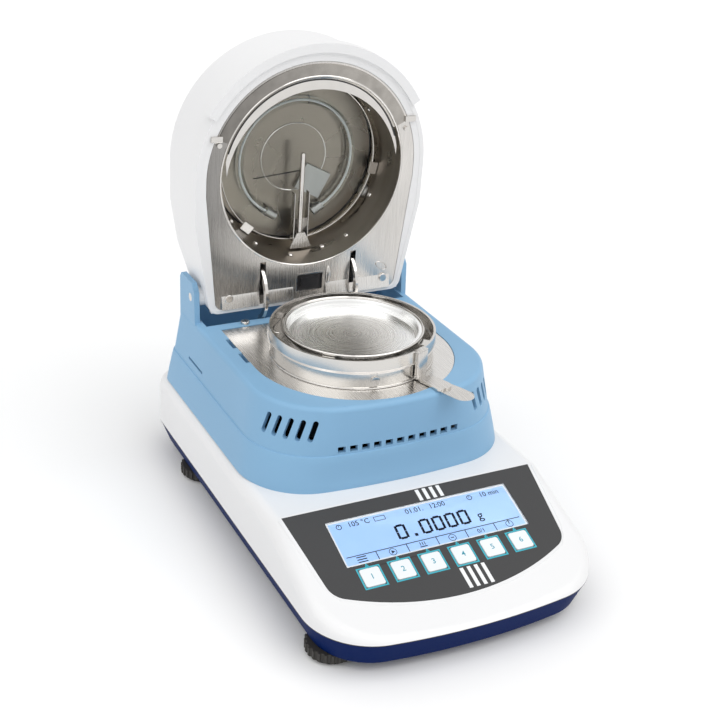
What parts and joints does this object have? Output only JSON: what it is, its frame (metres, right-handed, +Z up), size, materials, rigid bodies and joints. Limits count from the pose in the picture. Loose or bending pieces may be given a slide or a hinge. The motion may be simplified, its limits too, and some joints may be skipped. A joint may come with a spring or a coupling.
{
  "type": "moisture analyzer",
  "caption": "Bench-top moisture analyzer with hinged heating lid, weighing chamber with dish and lifter, sloping control panel and levelling feet.",
  "frame": {"origin": "on the surface the feet stand on, under the middle of the bounding box with the lid open", "axes": "+Z up, the front with the control panel faces -Y, +X to the right seen from the front"},
  "size_m": [0.202, 0.336, 0.3221],
  "materials": {
    "white_shell": "satin moulded housing",
    "light_blue": "satin moulded housing",
    "dark_blue": "satin moulded tray",
    "foil_grey": "fine matt control foil",
    "display_glass": "clear window",
    "display_back": "backlit display",
    "key_white": "satin key caps",
    "steel": "brushed stainless steel",
    "bright_steel": "polished stainless steel",
    "dish_steel": "pressed dish, bright",
    "clear_glass": "clear heat-proof glass",
    "board_green": "circuit board",
    "black_plastic": "black moulding",
    "cell_metal": "milled aluminium",
    "cast_block": "painted block",
    "supply_case": "sheet case",
    "rubber_pad": "soft rubber",
    "foot_plastic": "black knurled wheel",
    "cover_grey": "flat grey cover"
  },
  "bodies": {
    "base": {"upper_housing": "white_shell", "panel_foil": "foil_grey", "display_window": "display_glass", "display_module": "display_back", "key_board": "board_green", "base_tray": "dark_blue", "drying_housing": "light_blue", "crossbar_screws": "bright_steel", "heat_plate": "steel", "draft_shield": "steel", "shield_screws": "bright_steel", "pan_carrier": "bright_steel", "load_cell": "cell_metal", "cell_mount": "cast_block", "power_supply": "supply_case", "main_board": "board_green", "mains_inlet": "black_plastic", "fuse_drawer": "black_plastic", "serial_socket": "bright_steel", "tray_screws": "bright_steel", "hinge_pin_left": "bright_steel", "hinge_pin_right": "bright_steel", "guide_arm_left": "bright_steel", "guide_arm_right": "bright_steel"},
    "lid": {"hood_shell": "white_shell", "lid_plate": "steel", "reflector_drum": "bright_steel", "protective_glass": "clear_glass", "glass_clips": "bright_steel", "lamp_tube": "clear_glass", "lamp_holders": "bright_steel", "sensor_tube": "bright_steel", "sensor_bracket": "steel", "terminal_cover": "cover_grey", "catch_block": "black_plastic", "plate_screws": "bright_steel", "band_pins": "bright_steel"},
    "lifter": {"sample_lifter": "bright_steel"},
    "dish": {"sample_dish": "dish_steel"},
    "key_1": {"key_1": "key_white"},
    "key_2": {"key_2": "key_white"},
    "key_3": {"key_3": "key_white"},
    "key_4": {"key_4": "key_white"},
    "key_5": {"key_5": "key_white"},
    "key_6": {"key_6": "key_white"},
    "foot_pad_front_left": {"foot_pad_front_left": "rubber_pad"},
    "foot_wheel_front_left": {"foot_wheel_front_left": "foot_plastic"},
    "foot_pad_front_right": {"foot_pad_front_right": "rubber_pad"},
    "foot_wheel_front_right": {"foot_wheel_front_right": "foot_plastic"},
    "foot_pad_rear_left": {"foot_pad_rear_left": "rubber_pad"},
    "foot_wheel_rear_left": {"foot_wheel_rear_left": "foot_plastic"},
    "foot_pad_rear_right": {"foot_pad_rear_right": "rubber_pad"},
    "foot_wheel_rear_right": {"foot_wheel_rear_right": "foot_plastic"}
  },
  "joints": [
    {"name": "lid_hinge", "type": "hinge", "parent": "base", "child": "lid", "pos_m": [0, 0.12, 0.139], "axis": [-1, 0, 0], "range_deg": [-87.6, 0]},
    {"name": "lifter_lift", "type": "slide", "parent": "base", "child": "lifter", "axis": [0, 0, 1], "range_m": [0, 0.06]},
    {"name": "dish_lift", "type": "slide", "parent": "lifter", "child": "dish", "axis": [0, 0, 1], "range_m": [0, 0.04]},
    {"name": "key_1_press", "type": "slide", "parent": "base", "child": "key_1", "axis": [0, 0.3256, -0.9455], "range_m": [0, 0.0005], "stiffness_N_per_m": 1500},
    {"name": "key_2_press", "type": "slide", "parent": "base", "child": "key_2", "axis": [0, 0.3256, -0.9455], "range_m": [0, 0.0005], "stiffness_N_per_m": 1500},
    {"name": "key_3_press", "type": "slide", "parent": "base", "child": "key_3", "axis": [0, 0.3256, -0.9455], "range_m": [0, 0.0005], "stiffness_N_per_m": 1500},
    {"name": "key_4_press", "type": "slide", "parent": "base", "child": "key_4", "axis": [0, 0.3256, -0.9455], "range_m": [0, 0.0005], "stiffness_N_per_m": 1500},
    {"name": "key_5_press", "type": "slide", "parent": "base", "child": "key_5", "axis": [0, 0.3256, -0.9455], "range_m": [0, 0.0005], "stiffness_N_per_m": 1500},
    {"name": "key_6_press", "type": "slide", "parent": "base", "child": "key_6", "axis": [0, 0.3256, -0.9455], "range_m": [0, 0.0005], "stiffness_N_per_m": 1500},
    {"name": "foot_front_left_slide", "type": "slide", "parent": "base", "child": "foot_pad_front_left", "axis": [0, 0, -1], "range_m": [0, 0.0052]},
    {"name": "foot_front_left_turn", "type": "hinge", "parent": "foot_pad_front_left", "child": "foot_wheel_front_left", "pos_m": [-0.082, -0.124, 0.005], "axis": [0, 0, 1], "range_deg": [0, 1440]},
    {"name": "foot_front_right_slide", "type": "slide", "parent": "base", "child": "foot_pad_front_right", "axis": [0, 0, -1], "range_m": [0, 0.0052]},
    {"name": "foot_front_right_turn", "type": "hinge", "parent": "foot_pad_front_right", "child": "foot_wheel_front_right", "pos_m": [0.082, -0.124, 0.005], "axis": [0, 0, 1], "range_deg": [0, 1440]},
    {"name": "foot_rear_left_slide", "type": "slide", "parent": "base", "child": "foot_pad_rear_left", "axis": [0, 0, -1], "range_m": [0, 0.0052]},
    {"name": "foot_rear_left_turn", "type": "hinge", "parent": "foot_pad_rear_left", "child": "foot_wheel_rear_left", "pos_m": [-0.082, 0.104, 0.005], "axis": [0, 0, 1], "range_deg": [0, 1440]},
    {"name": "foot_rear_right_slide", "type": "slide", "parent": "base", "child": "foot_pad_rear_right", "axis": [0, 0, -1], "range_m": [0, 0.0052]},
    {"name": "foot_rear_right_turn", "type": "hinge", "parent": "foot_pad_rear_right", "child": "foot_wheel_rear_right", "pos_m": [0.082, 0.104, 0.005], "axis": [0, 0, 1], "range_deg": [0, 1440]}
  ],
  "couplings": [
    {"joint": "foot_front_left_slide", "follows": "foot_front_left_turn", "m_per_rad": 0.00019894},
    {"joint": "foot_front_right_slide", "follows": "foot_front_right_turn", "m_per_rad": 0.00019894},
    {"joint": "foot_rear_left_slide", "follows": "foot_rear_left_turn", "m_per_rad": 0.00019894},
    {"joint": "foot_rear_right_slide", "follows": "foot_rear_right_turn", "m_per_rad": 0.00019894}
  ]
}
